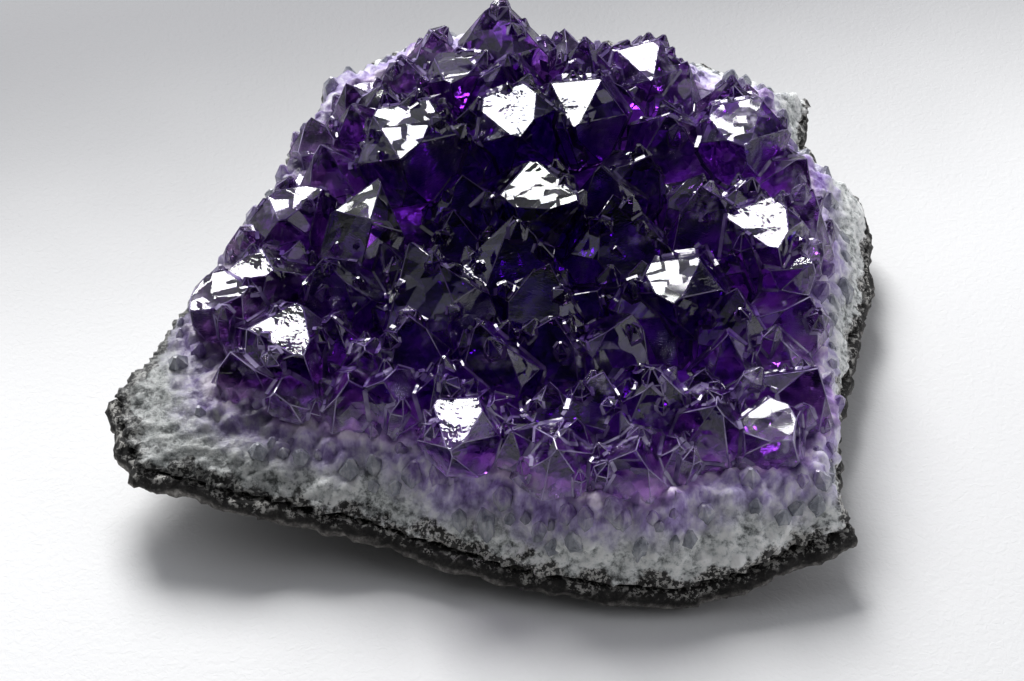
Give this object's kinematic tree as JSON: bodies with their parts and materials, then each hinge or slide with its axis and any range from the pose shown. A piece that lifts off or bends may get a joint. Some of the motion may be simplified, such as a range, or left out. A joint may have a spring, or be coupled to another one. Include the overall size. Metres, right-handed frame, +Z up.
{
  "type": "amethyst cluster",
  "caption": "Hand-sized slab of geode wall: a crust of purple amethyst points on pale banded quartz with a thin dark volcanic rind underneath; lies on its rind.",
  "frame": {"origin": "middle of the bounding box, on the surface that the slab rests on", "axes": "+Z up out of the crystal crust, -Y towards the thick broken front edge, +X to the right of it"},
  "size_m": [0.1108, 0.1178, 0.0328],
  "materials": {
    "basalt": "rough dark brown-black volcanic rock",
    "milky_quartz": "broken pale grey agate and milky quartz",
    "amethyst": "polished natural crystal faces, deep purple and see-through"
  },
  "bodies": {
    "root": {"basalt_rind": "basalt", "quartz_matrix": "milky_quartz", "amethyst_crystals": "amethyst"}
  },
  "joints": []
}
